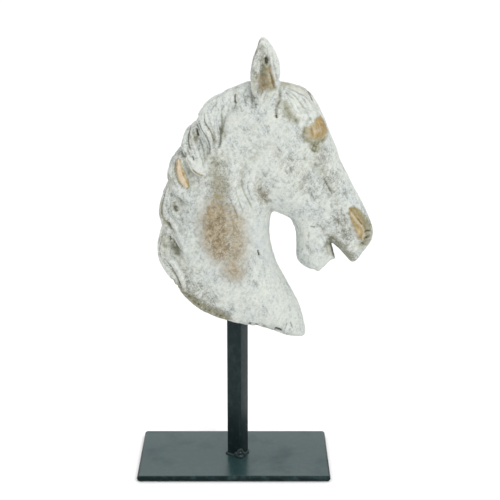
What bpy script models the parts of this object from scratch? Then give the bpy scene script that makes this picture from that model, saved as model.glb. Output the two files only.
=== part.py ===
"""Whitewashed horse head sculpture on a black steel stand. Metres, +Z up.

The horse faces +X. The origin is the centre of the base plate's underside.
The head is lofted from a neck, a skull and a lower jaw, with ears, cheeks,
brows, nostrils and locks of mane added, then fused into one solid.
"""
import math

import bmesh
import bpy
from mathutils import Matrix, Vector

MM = 0.001

# --- stand -----------------------------------------------------------------
PLATE_LENGTH = 150 * MM
PLATE_WIDTH = 85 * MM
PLATE_THICK = 4.8 * MM
PLATE_CORNER = 2.5 * MM
PLATE_EDGE = 0.5 * MM
POST_SIDE = 12.7 * MM
POST_CORNER = 1.65 * MM
POST_TURN = math.radians(-31.0)
POST_X = 2.8 * MM
POST_TOP = 143 * MM
GAP = 0.3 * MM
WELD_WIDTH = 2.3 * MM
WELD_HEIGHT = 1.9 * MM
WELD_LUMPS = 9
POOL_WIDTH = 0.9
POOL_HEIGHT = 1.4
POOL_REACH = 3.2 * MM

# --- head: sections from one end to the other, in millimetres ----------------
# back x, back z, front x, front z, half width, lean of the widest part
NECK = (
    (-31, 132, 56, 105.3, 20, -0.15),
    (-41, 142.5, 55.5, 112.5, 25, 0.0),
    (-45.5, 155, 51.5, 129, 27, 0.05),
    (-49, 172, 42, 148, 26.5, 0.1),
    (-50, 190, 33, 165, 25, 0.15),
    (-48, 208, 28, 184, 23, 0.15),
    (-43, 226, 28, 200, 21.5, 0.15),
    (-37, 243, 32, 215, 21, 0.1),
    (-28, 260, 38, 230, 20.5, 0.05),
    (-17, 276, 44, 246, 20, 0.0),
    (-2, 290, 48, 264, 18, 0.0),
    (12, 300.5, 46, 283, 14, 0.0),
)
SKULL = (
    (2, 288, 18, 303.5, 10, 0.0),
    (-2, 272, 34, 301.5, 16, 0.0),
    (-2, 256, 51, 297.5, 20, 0.05),
    (1, 242, 60.5, 291, 22.5, 0.1),
    (5, 229, 66, 281.5, 23.5, 0.1),
    (11, 218, 71, 269.5, 23, 0.05),
    (21, 210, 76.3, 257, 21, 0.0),
    (33, 205.5, 81, 244, 18, -0.05),
    (43, 200.5, 87, 232, 15.5, -0.1),
    (53, 196, 92.8, 221.5, 14, -0.1),
    (62, 191, 98.5, 211, 13, 0.0),
    (69, 186, 103.5, 200.5, 13, 0.0),
    (75.5, 181, 106.3, 190, 13.5, 0.05),
    (81, 175.5, 104.8, 182.5, 13, 0.0),
    (85.5, 170.5, 99, 175, 11.5, 0.0),
    (89, 165.5, 94.5, 168, 8, 0.0),
)
JAW = (
    (36, 214, 68, 216, 12, 0.0),
    (42.5, 202, 70, 203, 13, 0.0),
    (47.2, 191, 72, 193, 12.5, 0.0),
    (48, 181, 74, 184, 12, 0.0),
    (47.5, 173.5, 76.5, 176.5, 12, 0.0),
    (49.5, 166.5, 77, 170.5, 11.5, 0.0),
    (56, 161.3, 73, 166, 10, 0.0),
    (62.5, 159.5, 69, 161.5, 6, 0.0),
)
SECTION_POWER = 2.25
SECTION_POINTS = 32
SECTION_STEPS = 4

# ear: height, centre x, centre out from the middle, half width, half depth
EAR = (
    (290, 26, 12, 5, 4),
    (299, 24.2, 13.5, 10.3, 6.5),
    (309, 23.8, 13, 11.6, 6.5),
    (317, 24.3, 12, 11.3, 6),
    (324, 24.4, 11, 9, 5),
    (330, 23.6, 10, 6, 4),
    (334, 22.4, 9.3, 3.5, 2.8),
    (336.2, 21.6, 9, 1.5, 1.4),
)
EAR_HOLLOW = 0.85
EAR_TWIST = math.radians(22.0)

# carving on each side: x, z, reach along, reach across, pitch in degrees, height
CARVING = (
    (24, 231, 25, 24, 0, 4.0),
    (60, 269, 11, 9.5, -60, 5.0),
    (77, 237, 24, 5.5, -63, 2.2),
    (97, 195, 12, 8, -62, 2.2),
    (101, 188, 3.5, 2.5, -50, -2.5),
    (44, 285, 8, 6, -45, -2.5),
    (63, 253, 7, 5, -60, -1.5),
    (1, 238, 18, 4, 90, -2.0),
    (66, 183, 9, 4, 30, -1.5),
    (62, 169, 8, 7, -40, 1.5),
    (20, 150, 30, 10, -60, -1.5),
)
CARVING_EDGE = 3
# the underside's rise in front of the post: x, reach, height, and where it fades out above
ARCH = (22, 14, 2.8, 142)

# locks of mane and forelock on each side, and the crest: x, out, z, radius
LOCKS = (
    ((15, 5, 299.5, 6), (-1.5, 8, 290.5, 7.5), (-14.5, 10, 281.5, 8.7), (-18, 12.5, 273.5, 8.5),
     (-15.5, 15.5, 263, 6.5), (-12, 17, 251, 3)),
    ((-18, 7, 271, 6), (-28.5, 9.5, 265, 7.5), (-29.8, 12.5, 256.5, 8.2), (-26.5, 16, 247, 7),
     (-20, 17.5, 236, 3)),
    ((-28, 7, 254, 6), (-36.5, 9.5, 247, 8), (-41.5, 12, 237, 8.3), (-38.5, 16, 227.5, 7),
     (-30, 18, 216, 3)),
    ((-41, 7, 233, 6), (-45.5, 9, 220, 7.3), (-47.8, 11, 208, 8.5), (-43.5, 15.5, 196, 8),
     (-36, 19.5, 184, 6), (-29, 21, 174, 3)),
    ((-44, 8, 200, 6), (-48.5, 10, 187, 8), (-49, 12, 175, 8.5), (-43, 17, 164, 8),
     (-35, 21, 154, 6), (-28, 22, 145, 3)),
    ((24, 2, 300.5, 5), (40, 5, 297, 6), (52.5, 8, 292, 6.5), (57, 13, 285, 5), (58, 16, 279, 3)),
)
CREST = ((2, 0, 293, 7), (-12, 0, 282, 8), (-20, 0, 268, 8), (-29.5, 0, 253, 8), (-39, 0, 238, 8),
         (-41.5, 0, 221, 8), (-46, 0, 203, 8.5), (-46, 0, 186, 9), (-47, 0, 172, 9), (-41, 0, 158, 9))
LOCK_POINTS = 14
LOCK_FLATTEN = 0.72

VOXEL = 1.5 * MM
SMOOTH_PASSES = 7
KEEP_RATIO = 0.111


def clear_scene():
    """Remove whatever the file starts with."""
    for obj in list(bpy.data.objects):
        bpy.data.objects.remove(obj, do_unlink=True)


def material(name, colour, roughness, metallic=0.0):
    """One plain Principled material."""
    mat = bpy.data.materials.new(name)
    mat.use_nodes = True
    shader = mat.node_tree.nodes["Principled BSDF"]
    shader.inputs["Base Color"].default_value = (*colour, 1.0)
    shader.inputs["Roughness"].default_value = roughness
    shader.inputs["Metallic"].default_value = metallic
    return mat


def blend(rows, steps):
    """Rows of numbers with a smooth curve's values put between them."""
    out = []
    last = len(rows) - 1
    for i in range(last):
        a, b = rows[max(i - 1, 0)], rows[i]
        c, d = rows[i + 1], rows[min(i + 2, last)]
        for k in range(steps):
            t = k / steps
            out.append([0.5 * (2 * q + (r - p) * t + (2 * p - 5 * q + 4 * r - s) * t * t
                               + (3 * q - p - 3 * r + s) * t ** 3)
                        for p, q, r, s in zip(a, b, c, d)])
    out.append(list(rows[last]))
    return out


def bulge(value, power):
    """A sine or cosine squared off by the superellipse's power."""
    return math.copysign(abs(value) ** (2.0 / power), value)


def skin(bm, rings):
    """Close a run of equal rings into one shell, a point fanned over each end."""
    loops = [[bm.verts.new(p) for p in ring] for ring in rings]
    count = len(loops[0])
    for low, high in zip(loops, loops[1:]):
        for i in range(count):
            j = (i + 1) % count
            bm.faces.new((low[i], low[j], high[j], high[i]))
    for loop in (loops[0], loops[-1]):
        tip = bm.verts.new(sum((v.co for v in loop), Vector()) / count)
        for i in range(count):
            bm.faces.new((loop[i], loop[(i + 1) % count], tip))


def loft(bm, rows):
    """A body through egg-shaped sections lying across the middle plane."""
    rings = []
    for bx, bz, fx, fz, half, lean in blend(rows, SECTION_STEPS):
        back, front = Vector((bx, 0, bz)) * MM, Vector((fx, 0, fz)) * MM
        middle, reach = (back + front) / 2, (front - back) / 2
        ring = []
        for i in range(SECTION_POINTS):
            a = 2 * math.pi * (i + 0.5) / SECTION_POINTS
            u, v = bulge(math.cos(a), SECTION_POWER), bulge(math.sin(a), SECTION_POWER)
            ring.append(middle + reach * u + Vector((0, half * MM * v * (1 + lean * u), 0)))
        rings.append(ring)
    skin(bm, rings)


def ear(bm, side):
    """One ear, hollow on its outer face and turned a little forward."""
    turn = Matrix.Rotation(-side * EAR_TWIST, 3, "Z")
    rings = []
    for z, cx, out, half, depth in blend(EAR, SECTION_STEPS):
        ring = []
        for i in range(SECTION_POINTS):
            a = 2 * math.pi * i / SECTION_POINTS
            u, v = math.cos(a), math.sin(a)
            if v > 0:
                v -= EAR_HOLLOW * (1 - u * u) * min(1.0, max(0.0, (334 - z) / 8))
            point = turn @ Vector((half * u, side * depth * v, 0))
            ring.append((point + Vector((cx, side * out, z))) * MM)
        rings.append(ring)
    skin(bm, rings)


def lock(bm, side, rows):
    """One tapered lock of hair following its own curve."""
    path = blend(rows, SECTION_STEPS)
    points = [Vector((x, side * out, z)) * MM for x, out, z, _ in path]
    rings = []
    for i, (point, row) in enumerate(zip(points, path)):
        along = (points[min(i + 1, len(points) - 1)] - points[max(i - 1, 0)]).normalized()
        outward = Vector((0, side, 0))
        across = along.cross(outward).normalized()
        outward = across.cross(along).normalized()
        radius = row[3] * MM
        rings.append([point
                      + across * (radius * math.cos(2 * math.pi * k / LOCK_POINTS))
                      + outward * (radius * LOCK_FLATTEN * math.sin(2 * math.pi * k / LOCK_POINTS))
                      for k in range(LOCK_POINTS)])
    skin(bm, rings)


def carve(mesh):
    """Raise and sink broad rounded patches on both sides of the head."""
    for vertex in mesh.vertices:
        x, y, z = vertex.co / MM
        depth = min(1.0, abs(y) / 9.0)
        for cx, cz, along, across, pitch, height in CARVING:
            c, s = math.cos(math.radians(pitch)), math.sin(math.radians(pitch))
            u = ((x - cx) * c + (z - cz) * s) / along
            v = ((z - cz) * c - (x - cx) * s) / across
            fade = math.exp(-(math.hypot(u, v) ** CARVING_EDGE))
            y += math.copysign(height * fade * depth, y)
        vertex.co.y = y * MM
        middle, reach, height, top = ARCH
        fade = min(1.0, max(0.0, (top - z) / 24))
        vertex.co.z += height * MM * fade * math.exp(-((x - middle) / reach) ** 2)


def new_object(name, bm, collection, mat=None):
    """Put a bmesh into the scene as a named object with outward faces."""
    bmesh.ops.recalc_face_normals(bm, faces=bm.faces)
    mesh = bpy.data.meshes.new(name)
    bm.to_mesh(mesh)
    bm.free()
    obj = bpy.data.objects.new(name, mesh)
    collection.objects.link(obj)
    if mat:
        mesh.materials.append(mat)
    return obj


def fused(obj):
    """The object's shells run together into one skin of even quads, as a new mesh."""
    fuse = obj.modifiers.new("fuse", "REMESH")
    fuse.mode = "VOXEL"
    fuse.voxel_size = VOXEL
    graph = bpy.context.evaluated_depsgraph_get()
    mesh = bpy.data.meshes.new_from_object(obj.evaluated_get(graph))
    obj.modifiers.remove(fuse)
    return mesh


def square_ring(half, corner, z, points=5):
    """Corner-rounded square outline about the post's axis, turned with the post."""
    turn = Matrix.Rotation(POST_TURN, 3, "Z")
    ring = []
    for quarter in range(4):
        for k in range(points):
            a = math.pi / 2 * (quarter + k / (points - 1))
            sx = 1 if quarter in (0, 3) else -1
            sy = 1 if quarter in (0, 1) else -1
            local = Vector((sx * (half - corner) + corner * math.cos(a),
                            sy * (half - corner) + corner * math.sin(a), 0))
            ring.append(turn @ local + Vector((POST_X, 0, z)))
    return ring


def make_head(collection, cutters, mat):
    """The carved head and neck as one solid, with a blind socket for the post."""
    bm = bmesh.new()
    for rows in (NECK, SKULL, JAW):
        loft(bm, rows)
    lock(bm, 1, CREST)
    for side in (-1, 1):
        ear(bm, side)
        for rows in LOCKS:
            lock(bm, side, rows)
    head = new_object("horse_head", bm, collection, mat)
    shells = head.data
    head.data = fused(head)
    bpy.data.meshes.remove(shells)
    carve(head.data)
    ease = head.modifiers.new("ease", "SMOOTH")
    ease.factor = 0.5
    ease.iterations = SMOOTH_PASSES
    thin = head.modifiers.new("thin", "DECIMATE")
    thin.ratio = KEEP_RATIO

    bm = bmesh.new()
    half = POST_SIDE / 2 + GAP
    skin(bm, [square_ring(half, POST_CORNER, 0.09), square_ring(half, POST_CORNER, POST_TOP + GAP)])
    socket = new_object("socket_cutter", bm, cutters)
    socket.hide_render = True
    socket.display_type = "WIRE"
    cut = head.modifiers.new("socket", "BOOLEAN")
    cut.operation = "DIFFERENCE"
    cut.solver = "EXACT"
    cut.object = socket


def make_post(collection, mat):
    """The square post, standing on the plate and reaching up into the socket."""
    bm = bmesh.new()
    half = POST_SIDE / 2
    skin(bm, [square_ring(half, POST_CORNER, PLATE_THICK + GAP),
              square_ring(half, POST_CORNER, POST_TOP)])
    new_object("stand_post", bm, collection, mat)


def spaced(ring, step):
    """The same closed outline with extra points along its long straight runs."""
    out = []
    for a, b in zip(ring, ring[1:] + ring[:1]):
        parts = max(1, round((b - a).length / step))
        out += [a.lerp(b, k / parts) for k in range(parts)]
    return out


def make_weld(collection, mat):
    """The lumpy weld bead run round the foot of the post, heaped at the front corner."""
    bm = bmesh.new()
    half = POST_SIDE / 2 + GAP
    base = PLATE_THICK + GAP
    inner = spaced(square_ring(half, POST_CORNER, base, 8), 2.5 * MM)
    outer = spaced(square_ring(half + WELD_WIDTH, POST_CORNER + WELD_WIDTH, base, 8), 2.5 * MM)
    front = min(inner, key=lambda point: point.y)
    count = len(inner)
    loops = []
    for i in range(count):
        lump = 1 + 0.22 * math.sin(2 * math.pi * WELD_LUMPS * i / count)
        pool = math.exp(-((inner[i] - front).length / POOL_REACH) ** 2)
        reach = (outer[i] - inner[i]) * lump * (1 + POOL_WIDTH * pool)
        rise = Vector((0, 0, WELD_HEIGHT * lump * (1 + POOL_HEIGHT * pool)))
        loops.append([bm.verts.new(inner[i] + reach * u + rise * v)
                      for u, v in ((0, 0), (1, 0), (0.97, 0.3), (0.74, 0.66), (0.4, 0.9), (0, 1))])
    for i in range(count):
        a, b = loops[i], loops[(i + 1) % count]
        for k in range(len(a)):
            m = (k + 1) % len(a)
            bm.faces.new((a[k], a[m], b[m], b[k]))
    new_object("weld_bead", bm, collection, mat)


def make_plate(collection, mat):
    """The flat base plate with rounded corners and eased edges."""
    bm = bmesh.new()
    place = (Matrix.Translation((0, 0, PLATE_THICK / 2))
             @ Matrix.Diagonal((PLATE_LENGTH, PLATE_WIDTH, PLATE_THICK, 1.0)))
    bmesh.ops.create_cube(bm, size=1.0, matrix=place)
    upright = [e for e in bm.edges if abs(e.verts[0].co.z - e.verts[1].co.z) > PLATE_THICK / 2]
    bmesh.ops.bevel(bm, geom=upright, offset=PLATE_CORNER, segments=5, profile=0.5,
                    affect="EDGES")
    plate = new_object("base_plate", bm, collection, mat)
    edge = plate.modifiers.new("edge", "BEVEL")
    edge.width = PLATE_EDGE
    edge.segments = 2
    edge.limit_method = "ANGLE"
    edge.angle_limit = math.radians(60)


def main():
    """Build the sculpture and its stand."""
    clear_scene()
    part = bpy.data.collections.new("horse_head_sculpture")
    cutters = bpy.data.collections.new("cutters")
    for group in (part, cutters):
        bpy.context.scene.collection.children.link(group)
    whitewash = material("whitewash", (0.62, 0.64, 0.60), 0.85)
    black = material("black_steel", (0.012, 0.014, 0.015), 0.42)
    make_head(part, cutters, whitewash)
    make_post(part, black)
    make_weld(part, black)
    make_plate(part, black)


main()
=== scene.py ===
"""Whitewashed horse head on a black steel stand, finished around its CAD frame.

Lengths in the carving tables are millimetres in the frame's own axes: the horse
faces +X, its near side is -Y and the stand's underside is z = 0.
"""
import logging
import math
from collections.abc import Callable
from dataclasses import dataclass, field
from enum import Enum
from itertools import cycle

import bpy
import numpy as np
from mathutils import Matrix, Vector, noise

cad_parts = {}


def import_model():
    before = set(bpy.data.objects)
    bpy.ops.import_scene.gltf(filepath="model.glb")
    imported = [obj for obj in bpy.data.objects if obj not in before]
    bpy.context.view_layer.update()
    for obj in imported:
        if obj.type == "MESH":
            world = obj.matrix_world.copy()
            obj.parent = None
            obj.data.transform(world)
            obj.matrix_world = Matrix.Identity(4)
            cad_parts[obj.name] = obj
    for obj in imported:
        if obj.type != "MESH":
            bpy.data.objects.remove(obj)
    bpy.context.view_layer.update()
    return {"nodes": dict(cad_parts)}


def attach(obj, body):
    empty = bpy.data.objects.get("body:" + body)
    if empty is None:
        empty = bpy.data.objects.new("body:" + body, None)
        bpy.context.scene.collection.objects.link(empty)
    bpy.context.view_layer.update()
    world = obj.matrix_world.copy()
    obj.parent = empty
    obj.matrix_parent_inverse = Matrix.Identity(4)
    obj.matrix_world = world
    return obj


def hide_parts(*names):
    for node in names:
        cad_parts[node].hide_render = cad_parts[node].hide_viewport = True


MM = 0.001
BODY = "root"
CRISP_ANGLE = 40.0
LOG = logging.getLogger("horse_head")

Point = tuple[float, float]
Path = tuple[Point, ...]
Colour = tuple[float, float, float]


class Side(Enum):
    """Which flank of the head a tool works on."""

    NEAR = -1
    FAR = 1
    BOTH = 0


class Cut(Enum):
    """The three ways a carving tool moves the surface."""

    ROUND = "a soft rounded swell or hollow"
    VEE = "a narrow groove or a sharp ridge"
    SHELF = "an edge that stands proud on the left of the path"


# --------------------------------------------------------------------------- shader maths
class Value:
    """A shader socket that Python's arithmetic works on."""

    def __init__(self, shade: "Shade", socket: bpy.types.NodeSocket) -> None:
        """Keep the socket and the node tree it belongs to.

        Args:
            shade: The node tree's builder.
            socket: The output socket to wrap.
        """
        self.shade = shade
        self.socket = socket

    def _math(self, operation: str, first: object, second: object) -> "Value":
        """Add one Math node.

        Args:
            operation: The Math node's operation.
            first: Its first value or link.
            second: Its second value or link.

        Returns:
            The node's result.
        """
        return self.shade.node("ShaderNodeMath", {"operation": operation}, {0: first, 1: second})

    def __add__(self, other: object) -> "Value":
        """Sum."""
        return self._math("ADD", self, other)

    __radd__ = __add__

    def __sub__(self, other: object) -> "Value":
        """Difference."""
        return self._math("SUBTRACT", self, other)

    def __rsub__(self, other: object) -> "Value":
        """Difference the other way round."""
        return self._math("SUBTRACT", other, self)

    def __mul__(self, other: object) -> "Value":
        """Product."""
        return self._math("MULTIPLY", self, other)

    __rmul__ = __mul__

    def step(self, low: float, high: float) -> "Value":
        """Rise smoothly from 0 to 1.

        Args:
            low: Where the rise starts; above high, it falls instead.
            high: Where it ends.

        Returns:
            The eased value.
        """
        return self.shade.node(
            "ShaderNodeMapRange", {"interpolation_type": "SMOOTHSTEP"},
            {"Value": self, "From Min": low, "From Max": high})


class Shade:
    """A material's node tree under construction."""

    def __init__(self, name: str) -> None:
        """Start an empty material.

        Args:
            name: The material's name.
        """
        self.material = bpy.data.materials.new(name)
        self.material.use_nodes = True
        self.tree = self.material.node_tree
        self.tree.nodes.clear()

    def node(self, kind: str, settings: dict[str, object] | None = None,
             inputs: dict[str | int, object] | None = None,
             output: str | int | None = 0) -> Value | None:
        """Add one node.

        Args:
            kind: The node's type.
            settings: The node's own properties, set first.
            inputs: Values or links for its sockets, by name or place.
            output: The output to hand back, by name or place, if it has one.

        Returns:
            The output, ready for arithmetic.
        """
        made = self.tree.nodes.new(kind)
        for key, setting in (settings or {}).items():
            setattr(made, key, setting)
        for key, given in (inputs or {}).items():
            socket = made.inputs[key]
            if isinstance(given, Value):
                self.tree.links.new(given.socket, socket)
            else:
                socket.default_value = given
        return None if output is None else Value(self, made.outputs[output])

    def place(self) -> Value:
        """The point's own place on the object."""
        return self.node("ShaderNodeTexCoord", output="Object")

    def attribute(self, name: str) -> Value:
        """A number carried by the mesh's points."""
        return self.node("ShaderNodeAttribute", {"attribute_name": name}, output="Fac")

    def grain(self, where: Value, size: float, detail: float = 3.0, rough: float = 0.55,
              shift: float = 0.0) -> Value:
        """Cloudy noise about 0.5.

        Args:
            where: The coordinates it follows.
            size: The width of its largest lumps, in millimetres.
            detail: How many finer layers it has.
            rough: How strong the finer layers are.
            shift: A move of the pattern, in metres, so that two layers differ.

        Returns:
            The noise value.
        """
        moved = self.node("ShaderNodeVectorMath", {"operation": "ADD"},
                          {0: where, 1: (shift, shift, shift)})
        return self.node("ShaderNodeTexNoise", None, {
            "Vector": moved, "Scale": 1.0 / (size * MM), "Detail": detail, "Roughness": rough})

    def turned(self, where: Value, angle: float, squeeze: tuple[float, float, float]) -> Value:
        """Coordinates turned about Y, then stretched, for a brushed pattern.

        Args:
            where: The coordinates to turn.
            angle: The turn in degrees, seen from the head's near side.
            squeeze: A scale for each axis; below 1 draws the pattern out.

        Returns:
            The new coordinates.
        """
        spun = self.node("ShaderNodeVectorRotate", {"rotation_type": "Y_AXIS"},
                         {"Vector": where, "Angle": math.radians(angle)})
        return self.node("ShaderNodeVectorMath", {"operation": "MULTIPLY"}, {0: spun, 1: squeeze})

    def blend(self, factor: Value, first: Value, second: Value) -> Value:
        """Blend two numbers by a factor."""
        return first + factor * (second - first)

    def mix(self, factor: Value, first: object, second: object, blend: str = "MIX") -> Value:
        """Blend two colours.

        Args:
            factor: How much of the second shows.
            first: The colour beneath.
            second: The colour on top.
            blend: The Mix node's blending mode.

        Returns:
            The blended colour.
        """
        first, second = ((*c, 1.0) if isinstance(c, tuple) else c for c in (first, second))
        return self.node("ShaderNodeMix", {"data_type": "RGBA", "blend_type": blend},
                         {0: factor, 6: first, 7: second}, 2)

    def finish(self, inputs: dict[str, object]) -> bpy.types.Material:
        """Close the tree with its surface shader.

        Args:
            inputs: Values or links for the Principled shader.

        Returns:
            The finished material.
        """
        surface = self.node("ShaderNodeBsdfPrincipled", None, inputs)
        self.node("ShaderNodeOutputMaterial", None, {"Surface": surface}, None)
        return self.material


# --------------------------------------------------------------------------- finishes
@dataclass(frozen=True)
class Whitewash:
    """Chalky whitewash rubbed back over weathered tan wood, with painted shade in its hollows and
    creases and a painted highlight on its ridges.

    The colours come first. Cloud, patch, speckle and dust are the sizes in millimetres
    of the mottling, from broad to fine; brush and sweep are those of two sets of brush
    marks, each with its slant in degrees.
    """

    chalk: Colour = (0.60, 0.63, 0.58)
    cool: Colour = (0.525, 0.565, 0.56)
    pale: Colour = (0.70, 0.72, 0.68)
    ash: Colour = (0.19, 0.19, 0.145)
    olive: Colour = (0.25, 0.24, 0.14)
    tan: Colour = (0.29, 0.195, 0.065)
    honey: Colour = (0.46, 0.34, 0.145)
    cream: Colour = (0.62, 0.49, 0.32)
    umber: Colour = (0.20, 0.15, 0.075)
    sand: Colour = (0.40, 0.31, 0.175)
    dark: Colour = (0.05, 0.045, 0.03)
    cloud: float = 34.0
    patch: float = 11.0
    speckle: float = 3.4
    dust: float = 1.05
    brush: float = 2.2
    sweep: float = 2.6
    brush_angle: float = -35.0
    sweep_angle: float = 28.0
    bump: float = 0.55

    def make(self) -> bpy.types.Material:
        """Build the finish.

        Returns:
            The head's material.
        """
        s = Shade("whitewashed_wood")
        where = s.place()
        bare, olive, umber = s.attribute("bare"), s.attribute("olive"), s.attribute("umber")
        grime_and_shade, crease = s.attribute("grime_and_shade"), s.attribute("crease")
        hollow, ridge = s.attribute("hollow"), s.attribute("ridge")
        broad = s.grain(where, self.cloud, 3.0)
        patchy = s.grain(where, self.patch, 5.0, 0.62, 0.3)
        speck = s.grain(where, self.speckle, 6.0, 0.68, 0.7)
        grit = s.grain(where, self.dust, 3.0, 0.65, 1.1)
        brushed = s.grain(s.turned(where, self.brush_angle, (1.0, 1.0, 0.22)),
                          self.brush, 4.0, 0.6, 1.7)
        swept = s.grain(s.turned(where, self.sweep_angle, (1.0, 1.0, 0.25)),
                        self.sweep, 4.0, 0.6, 2.3)
        # the whitewash itself, brushed on in two directions and speckled
        hatch = s.blend(patchy.step(0.40, 0.60), brushed, swept)
        colour = s.mix((patchy + 0.6 * (broad - 0.5)).step(0.36, 0.66), self.chalk, self.cool)
        # this follows the grime and the painted shade; the speckles and scratches gather and the
        # wash darkens where it lies
        soil_and_shade = grime_and_shade + 0.6 * (patchy - 0.5) + 0.5 * (broad - 0.5)
        busy = (patchy + 0.6 * (broad - 0.5) + 0.15 * grime_and_shade).step(0.42, 0.60)
        freckle = (speck + 0.16 * soil_and_shade + 0.6 * (grit - 0.5)).step(0.50, 0.74)
        scratch = (hatch + 0.16 * soil_and_shade + 0.7 * (grit - 0.5)).step(0.50, 0.70)
        colour = s.mix(scratch * (0.23 + 0.25 * busy + 0.36 * soil_and_shade), colour, self.ash)
        colour = s.mix(freckle * (0.17 + 0.21 * busy + 0.33 * soil_and_shade), colour, self.ash)
        chalky = (hatch + 0.7 * (grit - 0.5) + 0.3 * (speck - 0.5)).step(0.50, 0.32)
        colour = s.mix(chalky * 0.52, colour, self.pale)
        colour = s.mix(soil_and_shade.step(0.0, 1.0) * 0.28, colour, self.ash)
        # olive stains and olive shade painted along outlines and under edges, and the brown patch
        # worn on the neck
        tinge = (olive + 0.9 * (patchy - 0.5) + 1.0 * (speck - 0.5)).step(0.12, 1.1)
        colour = s.mix(tinge * 0.8, colour, self.olive)
        brown = (umber + 0.7 * (speck - 0.5) + 0.7 * (patchy - 0.5)).step(0.08, 1.0)
        earth = s.mix((speck + 0.5 * (patchy - 0.5)).step(0.35, 0.65), self.umber, self.sand)
        fleck = (grit + 0.6 * (speck - 0.5) - 0.12 * (umber - 0.6)).step(0.60, 0.42)
        colour = s.mix(brown * (0.36 + 0.62 * fleck), colour, earth)
        # bare wood with an olive fringe
        rubbed = bare + 0.8 * (speck - 0.5) + 0.5 * (patchy - 0.5) + 0.5 * (grit - 0.5)
        wood = s.mix((speck + 0.6 * (patchy - 0.5)).step(0.36, 0.66), self.tan, self.honey)
        wood = s.mix(grit.step(0.52, 0.70) * 0.4, wood, self.umber)
        wood = s.mix(tinge * 0.7, wood, self.olive)
        wood = s.mix((bare + 0.3 * (patchy - 0.5)).step(1.0, 1.3), wood, self.cream)
        colour = s.mix(rubbed.step(0.12, 0.42) * 0.6, colour, self.olive)
        colour = s.mix(rubbed.step(0.34, 0.60) * 0.95, colour, wood)
        # dirt and painted shade in the grooves, a painted highlight on the ridges, painted shade in
        # the creases
        colour = s.mix(hollow * 0.62, colour, self.olive, "MULTIPLY")
        colour = s.mix(ridge * 0.35, colour, self.pale)
        shaded_crease = (crease + 0.5 * (grit - 0.5) + 0.4 * (speck - 0.5)).step(0.15, 1.0)
        colour = s.mix(shaded_crease * 0.85, colour, self.dark)
        height = 0.5 * grit + 0.8 * speck + 0.5 * hatch - 0.5 * freckle
        relief = s.node("ShaderNodeBump", None, {
            "Strength": self.bump, "Distance": 0.001, "Height": height})
        return s.finish({
            "Base Color": colour, "Roughness": 0.82 + 0.1 * grit,
            "Specular IOR Level": 0.3, "Normal": relief})


@dataclass(frozen=True)
class BlackSteel:
    """Black satin paint on steel, with faint smudges and, on a coated top, a painted sheen.

    Attributes:
        name: The material's name.
        paint: The paint's own colour.
        dust: The colour of the dusty film on it, also painted on a coated top as a paler sheen.
        sheen: The tint of its highlights.
        gloss: How strongly it reflects.
        rough: How blurred its reflections are.
        coated_above: Height in metres above which a clear wax film lies and a paler sheen is
            painted, if it has one.
    """

    name: str
    paint: Colour = (0.006, 0.012, 0.013)
    dust: Colour = (0.016, 0.026, 0.027)
    sheen: Colour = (0.78, 1.0, 1.0)
    gloss: float = 0.25
    rough: float = 0.3
    coated_above: float | None = None

    def make(self) -> bpy.types.Material:
        """Build the finish.

        Returns:
            The material.
        """
        s = Shade(self.name)
        where = s.place()
        smudge = s.grain(where, 26.0, 3.0, 0.5)
        peel = s.grain(where, 1.1, 2.0, 0.5, 0.4)
        dusty = s.grain(where, 5.0, 4.0, 0.65, 0.9)
        colour = s.mix((dusty + 0.4 * smudge).step(0.62, 0.95), self.paint, self.dust)
        relief = s.node("ShaderNodeBump", None, {
            "Strength": 0.1, "Distance": 0.0002, "Height": peel + 0.3 * dusty})
        inputs = {
            "Base Color": colour,
            "Roughness": self.rough + 0.2 * smudge.step(0.45, 0.75) + 0.04 * peel,
            "Specular IOR Level": self.gloss, "Specular Tint": (*self.sheen, 1.0),
            "Normal": relief}
        if self.coated_above is not None:
            height = s.node("ShaderNodeSeparateXYZ", None, {0: where}, "Z")
            film = height.step(self.coated_above - 0.4 * MM, self.coated_above)
            # the coated top is painted paler towards the dust colour: a painted sheen beneath the
            # coat's own reflection
            inputs["Base Color"] = s.mix(film * 0.7, colour, self.dust)
            inputs |= {"Coat Weight": film * (1.0 - 0.35 * smudge.step(0.5, 0.8)),
                       "Coat Roughness": 0.25, "Coat Tint": (*self.sheen, 1.0)}
        return s.finish(inputs)


@dataclass(frozen=True)
class StudioFloor:
    """Plain matt white board."""

    white: Colour = (0.97, 0.97, 0.97)

    def make(self) -> bpy.types.Material:
        """Build the finish.

        Returns:
            The floor's material.
        """
        s = Shade("studio_floor")
        return s.finish({"Base Color": (*self.white, 1.0), "Roughness": 0.9,
                         "Specular IOR Level": 0.1})


# --------------------------------------------------------------------------- mesh helpers
def deselect() -> None:
    """Leave object mode with nothing selected."""
    if bpy.context.object and bpy.context.object.mode != "OBJECT":
        bpy.ops.object.mode_set(mode="OBJECT")
    bpy.ops.object.select_all(action="DESELECT")


def activate(obj: bpy.types.Object) -> None:
    """Select one object alone and make it active.

    Args:
        obj: The object.
    """
    deselect()
    obj.select_set(True)
    bpy.context.view_layer.objects.active = obj


def apply_modifier(obj: bpy.types.Object, kind: str, **settings: object) -> None:
    """Add a modifier and apply it at once.

    Args:
        obj: The object it works on.
        kind: The modifier's type.
        **settings: The modifier's own properties.
    """
    activate(obj)
    modifier = obj.modifiers.new(kind.lower(), kind)
    for key, setting in settings.items():
        setattr(modifier, key, setting)
    bpy.ops.object.modifier_apply(modifier=modifier.name)


def bake_place(obj: bpy.types.Object) -> None:
    """Move the object's place and turn into its mesh."""
    activate(obj)
    bpy.ops.object.transform_apply(location=True, rotation=True, scale=True)


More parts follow.
